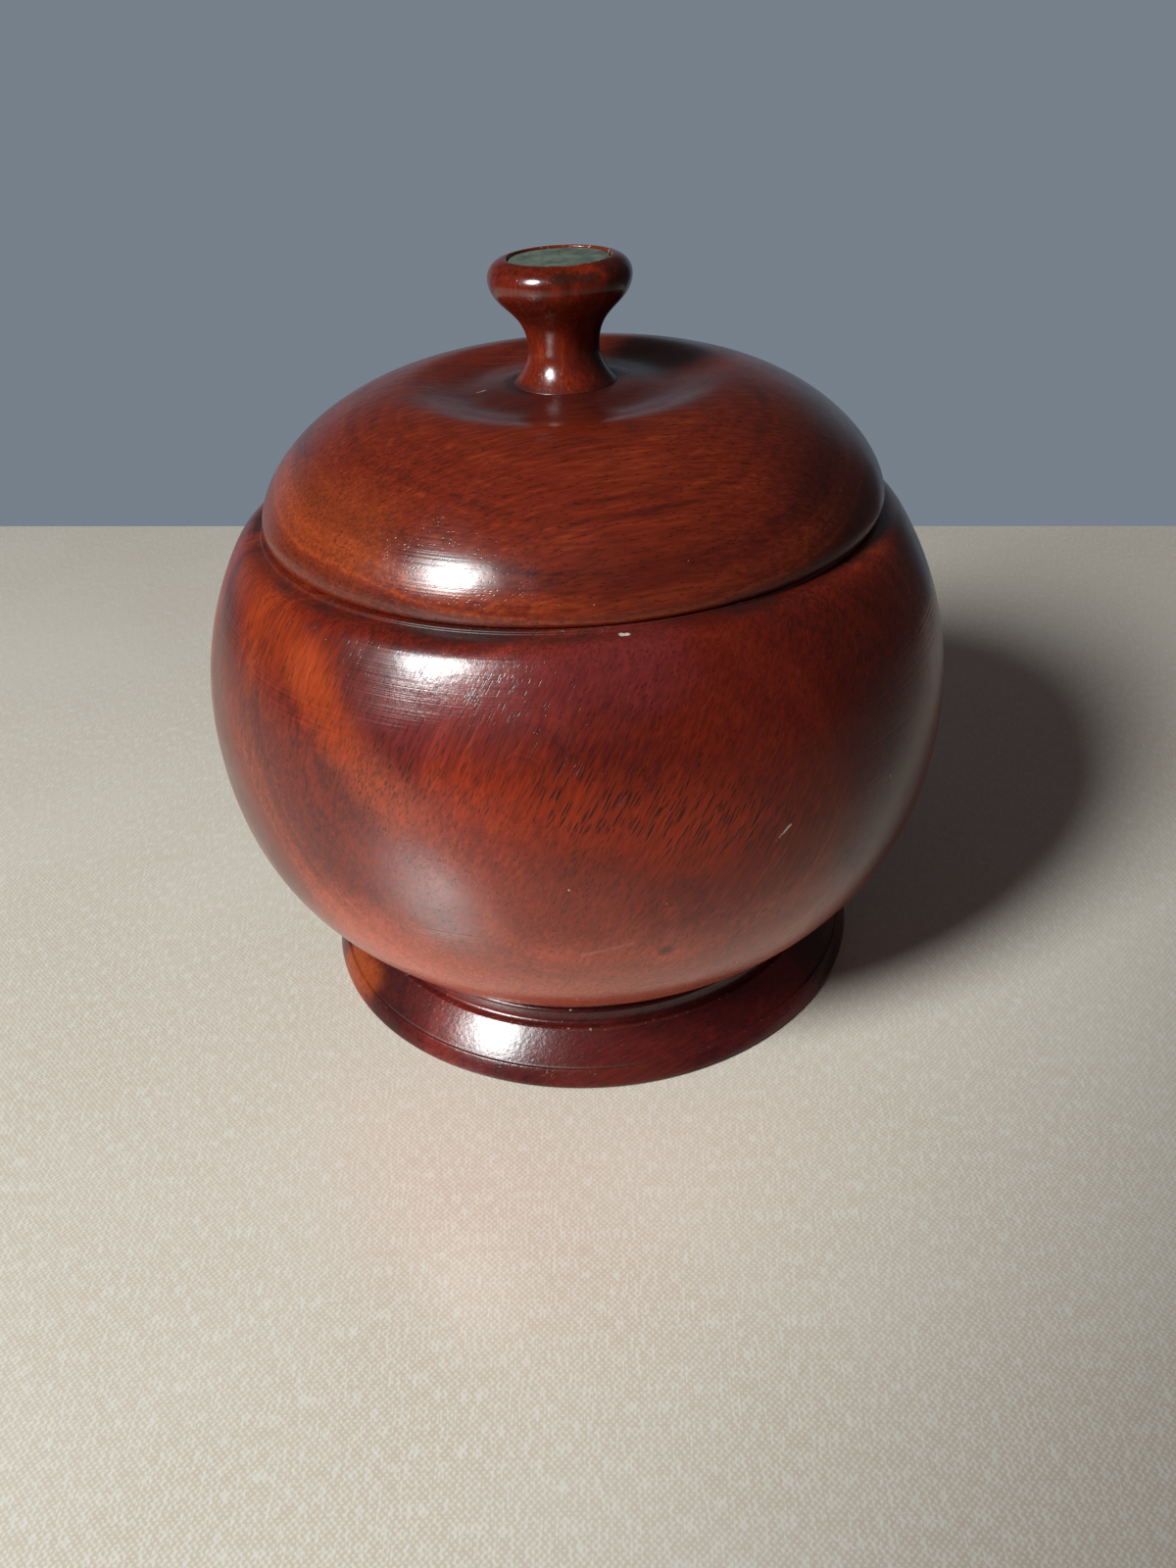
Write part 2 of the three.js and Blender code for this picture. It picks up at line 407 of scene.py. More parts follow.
# %% Growth rings
def build_growth():
    bench, given, result = new_group("growth rings", [
        ("Grain", PLACE, None),
        ("Band width", NUMBER, 18.0),
        ("Ring width", NUMBER, 2.4),
        ("Sway", NUMBER, 8.0),
        ("Band strength", NUMBER, 0.6),
        ("Shift", NUMBER, 0.0),
        ("Figure", NUMBER, 0.0),
        ("Light wood", COLOUR, (0.26, 0.045, 0.010, 1)),
        ("Red wood", COLOUR, (0.15, 0.016, 0.006, 1)),
        ("Dark wood", COLOUR, (0.06, 0.010, 0.008, 1)),
    ], [("Colour", COLOUR), ("Tone", NUMBER), ("Fibres", NUMBER)])
    x, y, _ = bench.split(given["Grain"])
    slow = bench.vector("MULTIPLY", given["Grain"], (0.022, 0.022, 0.009))
    slow = bench.vector("ADD", slow, bench.join(0.0, 0.0, given["Shift"]))
    swing = bench.sum("SUBTRACT", bench.noise(slow, 2), 0.5)
    from_pith = bench.vector("LENGTH", bench.join(x, y, 0.0), out="Value")
    depth = bench.plus(from_pith, swing, bench.times(given["Sway"], 2.0))
    depth = bench.plus(depth, given["Shift"])
    bands = bench.noise(None, 1.5, 0.5, along=bench.sum("DIVIDE", depth, given["Band width"]))
    rings = bench.noise(None, 2.5, 0.6, along=bench.sum("DIVIDE", depth, given["Ring width"]))
    streaks = bench.noise(bench.vector("MULTIPLY", given["Grain"], (0.55, 0.55, 0.05)), 3, 0.6)
    fibres = bench.noise(bench.vector("MULTIPLY", given["Grain"], (1.3, 1.3, 0.13)), 3, 0.65)
    tone = 0.5
    for layer, share in ((bench.ease(bands, 0.28, 0.72), given["Band strength"]),
                         (rings, 0.50), (streaks, 0.70), (fibres, 0.55)):
        tone = bench.plus(tone, bench.sum("SUBTRACT", layer, 0.5), share)
    tone = bench.plus(tone, given["Figure"], clamp=True)
    colour = bench.blend(bench.ease(tone, 0.0, 0.5), given["Dark wood"], given["Red wood"])
    colour = bench.blend(bench.ease(tone, 0.5, 1.0), colour, given["Light wood"])
    bench.fill(result["Colour"], colour)
    bench.fill(result["Tone"], tone)
    bench.fill(result["Fibres"], fibres)
    return bench.tree


growth_rings = build_growth()
print("growth rings:", len(growth_rings.nodes), "nodes")

# %% [markdown]
# Where a growth ring only just touches the outside of the bowl, it shows as a
# nest of ovals. On this jar one lies a little left of the middle. The same can
# come from bending the rings inwards, but a figure of its own is easier to place.

# %% Oval figure
def build_figure():
    bench, given, result = new_group("oval figure", [
        ("Place", PLACE, None),
        ("Centre", PLACE, (0.0, 0.0, 0.0)),
        ("Long way", PLACE, (0.0, 0.0, 1.0)),
        ("Stretch", NUMBER, 1.6),
        ("Ring width", NUMBER, 2.0),
        ("Reach", NUMBER, 20.0),
    ], [("Figure", NUMBER)])
    apart = bench.vector("SUBTRACT", given["Place"], given["Centre"])
    apart = bench.scaled(apart, 1000.0)
    straight = bench.vector("NORMALIZE", given["Long way"])
    on = bench.vector("DOT_PRODUCT", apart, straight, out="Value")
    side = bench.vector("SUBTRACT", apart, bench.scaled(straight, on))
    side = bench.vector("LENGTH", side, out="Value")
    on = bench.sum("DIVIDE", on, given["Stretch"])
    away = bench.vector("LENGTH", bench.join(on, side, 0.0), out="Value")
    wobble = bench.noise(bench.scaled(apart, 0.12), 2)
    away = bench.plus(away, wobble, 6.0)
    rings = bench.noise(None, 2, 0.6, along=bench.sum("DIVIDE", away, given["Ring width"]))
    fade = bench.ease(away, bench.times(given["Reach"], 0.35), given["Reach"], 1.0, 0.0)
    bench.fill(result["Figure"], bench.times(bench.sum("SUBTRACT", rings, 0.5), fade))
    return bench.tree


oval_figure = build_figure()
print("oval figure:", len(oval_figure.nodes), "nodes")

# %% [markdown]
# The open pores are the wood's vessels, cut along their length. Each fills a
# cell of a Voronoi pattern that is stretched along the grain, and a draw for
# each cell decides whether its pore is open.

# %% Open pores
def build_pores():
    bench, given, result = new_group("open pores", [
        ("Grain", PLACE, None),
        ("Width", NUMBER, 0.3),
        ("Length", NUMBER, 3.0),
        ("Share", NUMBER, 0.5),
    ], [("Pores", NUMBER)])
    x, y, z = bench.split(given["Grain"])
    bow = bench.noise(bench.vector("MULTIPLY", given["Grain"], (0.3, 0.3, 0.05)), 1)
    cell = bench.times(given["Width"], 1.5)
    stretch = bench.times(given["Length"], 1.5)
    place = bench.vector("DIVIDE", bench.join(bench.plus(x, bow, 1.6), y, z),
                         bench.join(cell, cell, stretch))
    cells = bench.add("ShaderNodeTexVoronoi", {"Vector": place, "Scale": 1.0})
    near = bench.ease(cells.outputs["Distance"], 0.26, 0.40, 1.0, 0.0)
    lot = bench.add("ShaderNodeSeparateColor", {0: cells.outputs["Color"]}).outputs[0]
    open_here = bench.sum("LESS_THAN", lot, given["Share"])
    bench.fill(result["Pores"], bench.times(near, open_here))
    return bench.tree


open_pores = build_pores()
print("open pores:", len(open_pores.nodes), "nodes")

# %% [markdown]
# ## The finish
# The varnish was brushed or rubbed on while the jar turned. It follows fine
# rings that the gouge left, and dried with a skin like orange peel, so a
# highlight has a bright heart and breaks up at its edge. These effects are
# heights for a Bump node, worked out on the shape itself.

# %% Turning lines and varnish skin
def build_turning_lines():
    bench, given, result = new_group("turning lines", [
        ("Place", PLACE, None),
        ("Cut", NUMBER, 0.0),
        ("Spacing", NUMBER, 0.7),
    ], [("Height", NUMBER)])
    along = bench.sum("DIVIDE", bench.times(given["Cut"], 1000.0), given["Spacing"])
    wander = bench.noise(bench.scaled(given["Place"], 14.0), 1)
    lines = bench.noise(None, 3, 0.65, along=bench.plus(along, wander, 1.5))
    patch = bench.noise(bench.vector("MULTIPLY", given["Place"], (25.0, 25.0, 60.0)), 2)
    bench.fill(result["Height"], bench.times(lines, bench.ease(patch, 0.40, 0.62)))
    return bench.tree


def build_varnish_skin():
    bench, given, result = new_group("varnish skin", [
        ("Place", PLACE, None),
        ("Grit", NUMBER, 1.1),
        ("Shift", NUMBER, 0.0),
    ], [("Height", NUMBER), ("Dullness", NUMBER)])
    moved = bench.vector("ADD", given["Place"], bench.join(given["Shift"], 0.0, 0.0))
    fine = bench.scaled(moved, bench.sum("DIVIDE", 1000.0, given["Grit"]))
    peel = bench.noise(fine, 2, 0.55)
    patch = bench.noise(bench.scaled(moved, 34.0), 2)
    patch = bench.ease(patch, 0.42, 0.62, 0.12, 1.0)
    sag = bench.noise(bench.scaled(moved, 110.0), 1)
    bench.fill(result["Height"], bench.plus(bench.times(peel, patch), sag, 1.5))
    dull = bench.noise(bench.scaled(moved, 60.0), 3, 0.6)
    bench.fill(result["Dullness"], bench.ease(dull, 0.35, 0.7))
    return bench.tree


turning_lines = build_turning_lines()
varnish_skin = build_varnish_skin()
print("finish groups:", len(turning_lines.nodes), "and", len(varnish_skin.nodes), "nodes")

# %% [markdown]
# ## Age
# Single marks tell that a thing was used: a scratch, a speck of paint, a dark
# bruise. Each is a short line in space with a width, so one group can make
# them all, and also the long soft streak of paler wood on the bowl and the
# patches of painted light and shade on the bowl, lid and knob.

# %% Marks and specks
def build_mark():
    bench, given, result = new_group("mark", [
        ("Place", PLACE, None),
        ("Centre", PLACE, (0.0, 0.0, 0.0)),
        ("Direction", PLACE, (1.0, 0.0, 0.0)),
        ("Half length", NUMBER, 1.0),
        ("Half width", NUMBER, 0.3),
        ("Softness", NUMBER, 0.5),
        ("Raggedness", NUMBER, 0.4),
        ("Grit", NUMBER, 1.0),
    ], [("Mark", NUMBER)])
    apart = bench.vector("SUBTRACT", given["Place"], given["Centre"])
    apart = bench.scaled(apart, 1000.0)
    straight = bench.vector("NORMALIZE", given["Direction"])
    on = bench.vector("DOT_PRODUCT", apart, straight, out="Value")
    on = bench.sum("MINIMUM", on, given["Half length"])
    on = bench.sum("MAXIMUM", on, bench.times(given["Half length"], -1.0))
    nearest = bench.scaled(straight, on)
    off = bench.vector("LENGTH", bench.vector("SUBTRACT", apart, nearest), out="Value")
    grit = bench.scaled(apart, bench.sum("DIVIDE", 1.0, given["Grit"]))
    rag = bench.sum("SUBTRACT", bench.noise(grit, 3, 0.6), 0.5)
    rag = bench.plus(1.0, rag, bench.times(given["Raggedness"], 2.0))
    width = bench.times(given["Half width"], rag)
    heart = bench.times(width, bench.sum("SUBTRACT", 1.0, given["Softness"]))
    bench.fill(result["Mark"], bench.ease(off, heart, width, 1.0, 0.0))
    return bench.tree


def build_specks():
    bench, given, result = new_group("specks", [
        ("Place", PLACE, None),
        ("Spacing", NUMBER, 9.0),
        ("Size", NUMBER, 0.25),
        ("Share", NUMBER, 0.5),
        ("Shift", NUMBER, 0.0),
    ], [("Specks", NUMBER)])
    moved = bench.vector("ADD", given["Place"], bench.join(given["Shift"], 0.0, 0.0))
    scaled = bench.scaled(moved, bench.sum("DIVIDE", 1000.0, given["Spacing"]))
    cells = bench.add("ShaderNodeTexVoronoi", {"Vector": scaled, "Scale": 1.0})
    size = bench.sum("DIVIDE", given["Size"], given["Spacing"])
    lots = bench.add("ShaderNodeSeparateColor", {0: cells.outputs["Color"]}).outputs
    size = bench.times(size, bench.sum("ADD", lots[1], 0.5))
    near = bench.ease(cells.outputs["Distance"], bench.times(size, 0.6), size, 1.0, 0.0)
    here = bench.sum("LESS_THAN", lots[0], given["Share"])
    bench.fill(result["Specks"], bench.times(near, here))
    return bench.tree


mark = build_mark()
specks = build_specks()
print("marks:", len(mark.nodes), "and", len(specks.nodes), "nodes")

# %% [markdown]
# Hands rub the varnish off the corners that stand out and chip it here and
# there, and old polish stays in the ones that lie deep. The lathe has carried
# both kinds of corner onto the mesh, so the group only breaks them up. Where
# two parts meet, the same darkening is also painted shade.

# %% Worn corners
def build_wear():
    bench, given, result = new_group("worn corners", [
        ("Place", PLACE, None),
        ("Proud", NUMBER, 0.0),
        ("Deep", NUMBER, 0.0),
        ("Amount", NUMBER, 0.5),
        ("Grit", NUMBER, 1.1),
    ], [("Rubbed", NUMBER), ("Chipped", NUMBER), ("Grime and shade", NUMBER)])
    scaled = bench.scaled(given["Place"], bench.sum("DIVIDE", 1000.0, given["Grit"]))
    rag = bench.noise(scaled, 3, 0.65)
    broad = bench.noise(bench.scaled(given["Place"], 45.0), 2)
    rub = bench.times(given["Proud"], bench.ease(broad, 0.35, 0.6))
    bench.fill(result["Rubbed"], bench.times(rub, given["Amount"], clamp=True))
    low = bench.plus(0.70, given["Amount"], -0.14)
    chip = bench.ease(rag, low, bench.sum("ADD", low, 0.05))
    chip = bench.times(chip, bench.ease(broad, 0.30, 0.55))
    bench.fill(result["Chipped"], bench.times(chip, given["Proud"], clamp=True))
    # Grime in the deep corners; where parts meet it is painted shade as well.
    grime_and_shade = bench.times(given["Deep"], bench.ease(rag, 0.2, 0.6, 0.55, 1.0))
    grime_and_shade = bench.times(grime_and_shade, bench.ease(broad, 0.42, 0.62, 0.35, 1.0))
    bench.fill(result["Grime and shade"], grime_and_shade)
    return bench.tree


worn_corners = build_wear()
print("worn corners:", len(worn_corners.nodes), "nodes")

# %% [markdown]
# ## One varnished wood, four pieces
# The four wooden pieces share one recipe, and each is cut from another place
# in the tree. The recipe lays the groups over each other in the order of the
# real finish: wood, pores, varnish, then wear, dirt and marks. The dirt also
# holds painted shade where parts meet, and some marks are painted light and
# shade. The varnish is the shader's own shine. A coat over it would be one more
# layer, but it would need the bumps a second time. A value that is the same all
# over, such as how strongly the varnish mirrors, is set on the shader.
#
# Places are in millimetres. `bands` are the band's width, the ring's width, the
# sway and the strength, and `pores` are their width, length and share. A mark
# is a colour, its strength, its centre and direction, half its length and
# width, and then how soft, ragged and coarse its edge is. A patch of pores is a
# mark's centre, direction and half sizes. An oval figure is its centre and long
# way, its stretch, the ring's width, its reach and its strength.

# %% Start and end of a material
def new_material(name):
    material = bpy.data.materials.new(name)
    material.use_nodes = True
    material.node_tree.nodes.clear()
    return material, Bench(material.node_tree)


def finish_material(bench, colour, rough, height, strength, relief, **constants):
    """One shader, with the heights as bumps. Constants are set on the shader itself."""
    bump = bench.add("ShaderNodeBump", {
        "Height": height, "Strength": strength, "Distance": relief * mm})
    shader = bench.add("ShaderNodeBsdfPrincipled", {
        "Base Color": colour, "Roughness": rough, "Normal": bump.outputs[0]})
    for name, value in constants.items():
        shader.inputs[name.replace("_", " ")].default_value = value
    bench.add("ShaderNodeOutputMaterial", {"Surface": shader.outputs[0]})


def grain_place(bench, place, pith, trunk):
    """Millimetres in the tree: the pith at the origin, the trunk along Z."""
    grain = bench.add("ShaderNodeMapping", {"Vector": place}, vector_type="TEXTURE")
    grain.inputs["Location"].default_value = Vector(pith) * mm
    grain.inputs["Rotation"].default_value = Vector(trunk).to_track_quat("Z", "Y").to_euler()
    grain.inputs["Scale"].default_value = (mm, mm, mm)
    return grain.outputs[0]


# %% The wood's own colour
def marked(bench, place, centre, direction, *sizes):
    """The mask of one mark. Sizes are those of the list above, in its order."""
    labels = ("Half length", "Half width", "Softness", "Raggedness", "Grit")
    return bench.use(mark, {"Place": place, "Centre": Vector(centre) * mm,
                            "Direction": direction, **dict(zip(labels, sizes))})["Mark"]


def wood_colour(bench, place, grain, colours, bands, shift, figures, marks_and_painted_light):
    figure = 0.0
    for centre, long_way, stretch, ring, reach, strength in figures:
        ovals = bench.use(oval_figure, {
            "Place": place, "Centre": Vector(centre) * mm, "Long way": long_way,
            "Stretch": stretch, "Ring width": ring, "Reach": reach})["Figure"]
        figure = bench.plus(figure, ovals, strength)
    wood = bench.use(growth_rings, {
        "Grain": grain, "Band width": bands[0], "Ring width": bands[1], "Sway": bands[2],
        "Band strength": bands[3], "Shift": shift, "Figure": figure,
        "Light wood": colours[0], "Red wood": colours[1], "Dark wood": colours[2]})
    colour = wood["Colour"]
    for tint, strength, *shape in marks_and_painted_light:
        mask = marked(bench, place, *shape)
        colour = bench.blend(bench.times(mask, strength), colour, tint)
    shade = bench.times(bench.ease(wood["Fibres"], 0.25, 0.72, 0.78, 1.14),
                        bench.ease(wood["Tone"], 0.1, 0.9, 0.86, 1.14))
    return bench.blend(1.0, colour, bench.join(shade, shade, shade), "MULTIPLY")


# %% Long pores in patches, short pores everywhere
def pore_masks(bench, place, grain, pores, patches):
    width, length, share = pores
    long_pores = bench.use(open_pores, {
        "Grain": grain, "Width": width, "Length": length, "Share": share})["Pores"]
    short_pores = bench.use(open_pores, {
        "Grain": grain, "Width": width * 1.1, "Length": length * 0.45, "Share": 0.3})["Pores"]
    zone = bench.noise(bench.vector("MULTIPLY", grain, (0.03, 0.03, 0.02)), 2)
    zone = bench.ease(zone, 0.50, 0.66, 0.0, 0.6)
    soft, ragged, coarse = 0.7, 0.5, 6.0
    for shape in patches:
        zone = bench.sum("MAXIMUM", zone, marked(bench, place, *shape, soft, ragged, coarse))
    return bench.times(long_pores, zone), short_pores


# %% Recipe for varnished wood
def varnished_wood(name, pith, trunk, colours, bands, pores, wear, marks_and_painted_light=(), figures=(),
                   patches=(), gloss=0.20, lines=0.8, peel=1.0, dirt_and_shade=0.8, shift=0.0):
    material, bench = new_material(name)
    place = bench.add("ShaderNodeTexCoord").outputs["Object"]
    grain = grain_place(bench, place, pith, trunk)
    proud, deep, inside, cut = (bench.add("ShaderNodeAttribute", attribute_name=m).outputs["Fac"]
                                for m in ("proud", "deep", "inside", "cut"))
    colour = wood_colour(bench, place, grain, colours, bands, shift, figures, marks_and_painted_light)
    big, small = pore_masks(bench, place, grain, pores, patches)
    worn = bench.use(worn_corners, {"Place": place, "Proud": proud, "Deep": deep,
                                    "Amount": wear})
    dust = bench.use(specks, {"Place": place, "Spacing": 11.0, "Size": 0.32, "Share": 0.22,
                              "Shift": shift * mm})["Specks"]
    rings = bench.use(turning_lines, {"Place": place, "Cut": cut})["Height"]
    skin = bench.use(varnish_skin, {"Place": place, "Shift": shift * mm})

    for mask, strength, tint in (
            (big, 0.95, (0.007, 0.002, 0.003, 1)), (small, 0.55, (0.022, 0.004, 0.004, 1)),
            (worn["Rubbed"], 0.4, (0.17, 0.045, 0.022, 1)),
            (worn["Chipped"], 0.8, (0.46, 0.30, 0.24, 1)),
            # Dirt in the deep corners, and painted shade where parts meet.
            (worn["Grime and shade"], dirt_and_shade, (0.012, 0.006, 0.005, 1)),
            (dust, 0.8, (0.62, 0.52, 0.45, 1))):
        colour = bench.blend(bench.times(mask, strength), colour, tint)
    height = bench.times(rings, lines)
    for layer, share in ((skin["Height"], peel), (big, -0.3), (small, -0.2),
                         (worn["Chipped"], -1.5), (dust, 0.8)):
        height = bench.plus(height, layer, share)
    rough = gloss
    for layer, share in ((skin["Dullness"], 0.06), (big, 0.04), (worn["Chipped"], 0.35),
                         (inside, 0.22), (worn["Grime and shade"], 0.2)):
        rough = bench.plus(rough, layer, share, clamp=True)
    finish_material(bench, colour, rough, height, 1.0, 0.06, IOR=1.5, Specular_IOR_Level=0.6)
    print(f"{name}: {len(bench.tree.nodes)} nodes")
    return material


# %% [markdown]
# The bowl's grain leans to the right as it rises. Its pith lies well behind
# the jar, so the front shows rings cut almost flat, as an oval figure. A long
# streak of orange wood runs down the left shoulder, between two purple bands,
# and open pores lie thickest right of the middle.

# %% Bowl wood
orange = (0.24, 0.030, 0.006, 1)
red = (0.150, 0.013, 0.0045, 1)
plum = (0.070, 0.008, 0.007, 1)
bowl_marks_and_painted_light = [
    # Broad fields of lighter and darker wood, some of them painted light, and the streaks on the
    # left shoulder.
    # Painted light: the lower belly is made lighter, standing in for light thrown up from the
    # table.
    ((0.52, 0.100, 0.052, 1), 0.92, (0, -84, 42), (1.0, 0.0, 0.0), 50, 42, 0.9, 0.4, 12.0),
    ((0.110, 0.009, 0.004, 1), 0.85, (44, -80, 120), (38, 4, -33), 26, 24, 0.9, 0.4, 12.0),
    ((0.25, 0.030, 0.006, 1), 0.65, (-66, -52, 128), (22, -40, -8), 22, 11, 0.8, 0.6, 6.0),
    ((0.35, 0.046, 0.010, 1), 0.72, (-47.5, -80, 112), (21, -24, -26), 20, 10, 0.8, 0.6, 6.0),
    ((0.072, 0.009, 0.008, 1), 0.5, (-76, -54, 113), (14, -30, -17), 18, 9, 0.9, 0.5, 6.0),
    ((0.070, 0.009, 0.009, 1), 0.4, (-68, -70, 94), (14, -16, -23), 18, 13, 0.9, 0.5, 6.0),
    # Partly purple wood, partly a painted sheen round the main highlight.
    ((0.15, 0.019, 0.018, 1), 0.85, (-12, -86, 126), (1.0, 0.15, 0.12), 28, 18, 0.9, 0.4, 9.0),
    ((0.27, 0.024, 0.005, 1), 0.75, (6, -97, 100), (0.9, 0.1, -0.25), 30, 17, 0.9, 0.5, 8.0),
    # Painted light: a lighter field round the faint low highlight on the belly.
    ((0.23, 0.028, 0.012, 1), 0.70, (-20, -96, 82), (1.0, 0.0, -0.2), 26, 17, 0.9, 0.4, 9.0),
    # A white scratch, a rubbed one, a dark bruise and a pale chip under the lid.
    ((0.60, 0.50, 0.46, 1), 0.9, (46.1, -88.4, 89), (0.60, 0.25, 0.50), 2.6, 0.35, 0.4, 0.9, 0.6),
    ((0.36, 0.15, 0.09, 1), 0.45, (6.4, -97.8, 65.6), (0.96, 0.05, 0.25), 6, 0.9, 0.9, 1.0, 1.6),
    ((0.020, 0.006, 0.006, 1), 0.75, (19.8, -96, 62.4), (1.0, 0.2, 0.3), 0.4, 2.4, 0.9, 0.5, 1.6),
    ((0.66, 0.60, 0.54, 1), 1.0, (12.9, -79.6, 135.4), (1.0, 0.1, 0), 0.6, 0.8, 0.4, 0.7, 0.8),
]
bowl_wood = varnished_wood(
    "bowl varnished wood", pith=(-20, 160, 60), trunk=(0.50, 0.27, 0.86),
    colours=(orange, red, plum), bands=(15.0, 2.6, 9.0, 0.45), pores=(0.29, 5.2, 0.8),
    wear=0.35, marks_and_painted_light=bowl_marks_and_painted_light,
    figures=[((-11.3, -95.8, 108.6), (0.35, 0.0, 0.94), 1.5, 2.2, 24, 1.0)],
    patches=[((22, -95, 100), (0.9, 0.1, -0.3), 22, 14)],
    gloss=0.21, lines=1.2, peel=0.66, shift=3.0)

# %% [markdown]
# The lid was cut from a lighter board whose grain lies flat across it. The
# knob is a bright orange spindle with its grain upright, and the foot is the
# darkest of the four, with a patch of sapwood at its left.

# %% Lid, knob and foot wood
lid_marks_and_painted_shade = [
    # Partly dark wood, partly a painted dark reflection in the dish round the knob.
    ((0.050, 0.008, 0.006, 1), 0.85, (8, -6, 163), (1.0, 0.1, 0.0), 12, 40, 0.8, 0.5, 14.0),
    # Painted shade: the lid's right side, away from the light, is made darker.
    ((0.045, 0.007, 0.005, 1), 0.75, (62, -10, 150), (0.1, 1.0, 0.0), 30, 26, 0.9, 0.5, 12.0),
    ((0.110, 0.013, 0.006, 1), 0.75, (30, -72, 146), (0.9, 0.3, 0.0), 22, 15, 0.9, 0.5, 8.0),
    ((0.24, 0.040, 0.009, 1), 0.6, (-60, -38, 149), (0.65, -0.75, 0.0), 24, 17, 0.9, 0.6, 9.0),
    ((0.50, 0.34, 0.24, 1), 0.8, (-20.3, -2.4, 164.6), (1.0, 0.4, 0.0), 1.6, 0.4, 0.5, 0.8, 0.6),
]
lid_wood = varnished_wood(
    "lid varnished wood", pith=(0, 30, -260), trunk=(0.97, 0.24, 0.03),
    colours=((0.25, 0.040, 0.009, 1), (0.145, 0.016, 0.006, 1), (0.055, 0.008, 0.006, 1)),
    bands=(6.0, 1.1, 3.0, 0.35), pores=(0.3, 2.6, 0.35), wear=0.4, marks_and_painted_light=lid_marks_and_painted_shade,
    lines=0.8, peel=1.1, shift=21.0)
knob_painted_shade = [
    # Painted shade: the knob's right side, away from the light, is made darker.
    ((0.038, 0.005, 0.004, 1), 0.9, (14, -4, 178), (0.1, 0.0, 1.0), 14, 12, 0.8, 0.5, 5.0),
    # Painted shade in the broken-out dent at the front of the rim.
    ((0.035, 0.010, 0.006, 1), 0.85, (5.2, -14.8, 192.4), (1.0, 0.2, 0.0), 4.5, 2.2, 0.6, 0.9, 1.6),
]
knob_wood = varnished_wood(
    "knob varnished wood", pith=(26, 30, 170), trunk=(0.06, 0.02, 0.99),
    colours=((0.22, 0.024, 0.005, 1), (0.13, 0.012, 0.004, 1), (0.06, 0.007, 0.004, 1)),
    bands=(8.0, 1.6, 2.5, 0.3), pores=(0.22, 1.8, 0.3), wear=0.8, marks_and_painted_light=knob_painted_shade,
    gloss=0.16, lines=0.4, peel=0.6, shift=47.0)
foot_marks = [
    ((0.26, 0.046, 0.010, 1), 0.9, (-70, -35, 6), (0.4, -0.8, 0.2), 7, 9, 0.7, 0.5, 6.0),
    ((0.15, 0.020, 0.012, 1), 0.6, (6, -79, 3), (1.0, 0.0, 0.0), 16, 8, 0.9, 0.5, 6.0),
    ((0.13, 0.014, 0.013, 1), 0.6, (8, -74, 10), (1.0, 0.0, 0.0), 20, 8, 0.9, 0.5, 6.0),
]
foot_wood = varnished_wood(
    "foot varnished wood", pith=(60, 90, -40), trunk=(0.90, 0.30, 0.30),
    colours=((0.14, 0.013, 0.008, 1), (0.085, 0.008, 0.007, 1), (0.046, 0.006, 0.006, 1)),
    bands=(14.0, 2.0, 6.0, 0.7), pores=(0.25, 2.2, 0.3), wear=0.55, marks_and_painted_light=foot_marks,
    gloss=0.23, lines=0.5, peel=1.0, dirt_and_shade=0.45, shift=72.0)


# %% [markdown]
# ## The stone
# The disc in the knob is a slice of dull green stone, ground flat. It has
# cloudy patches, a few darker veins and pale grains. One material with three
# noises gives that, and needs no groups, because nothing else is of stone.

# %% Green stone
def green_stone():
    material, bench = new_material("green stone")
    place = bench.add("ShaderNodeTexCoord").outputs["Object"]
    clouds = bench.noise(bench.scaled(place, 260.0), 5, 0.6)
    grains = bench.noise(bench.scaled(place, 1800.0), 3, 0.7)
    vein_cells = bench.add("ShaderNodeTexVoronoi", {
        "Vector": bench.scaled(place, 150.0), "Scale": 1.0}, feature="DISTANCE_TO_EDGE")
    veins = bench.ease(vein_cells.outputs["Distance"], 0.0, 0.06, 1.0, 0.0)
    colour = bench.blend(bench.ease(clouds, 0.3, 0.7), (0.060, 0.085, 0.066, 1),
                         (0.15, 0.185, 0.145, 1))
    colour = bench.blend(bench.times(veins, 0.35), colour, (0.035, 0.045, 0.034, 1))
    pale = bench.times(bench.ease(grains, 0.55, 0.8), 0.4)
    colour = bench.blend(pale, colour, (0.28, 0.31, 0.26, 1))
    finish_material(bench, colour, bench.ease(clouds, 0.3, 0.7, 0.34, 0.5), grains, 0.6, 0.02)
    return material


stone = green_stone()
print("materials:", sorted(m.name for m in bpy.data.materials))

# %% [markdown]
# ## The foot
# A low ring with a steep band at the floor, a broad sloping face above it, and
# then a small ledge, a cove and a bead that meets the bowl. Its underside is
# cut hollow, so that the jar stands on a rim and doesn't rock.

# %% Foot
def worn_between(rows, low, high):
    """Keeps full wear only between two heights, and marks each point as outside."""
    return [(radius, height, proud if low * mm < height < high * mm else proud * 0.15, deep, 0.0)
            for radius, height, proud, deep in rows]


def shade_and_grime_near(rows, radius, height, reach):
    """Lets dirt and painted shade lie round one spot of the outline, less and less up to the reach.
    """
    darkened = []
    for row in rows:
        share = 1 - math.dist(row[:2], (radius * mm, height * mm)) / (reach * mm)
        darkened.append((*row[:3], max(row[3], min(1, share * 1.5)), *row[4:]))
    return darkened


def millimetres(points):
    return [(radius * mm, height * mm) for radius, height in points]


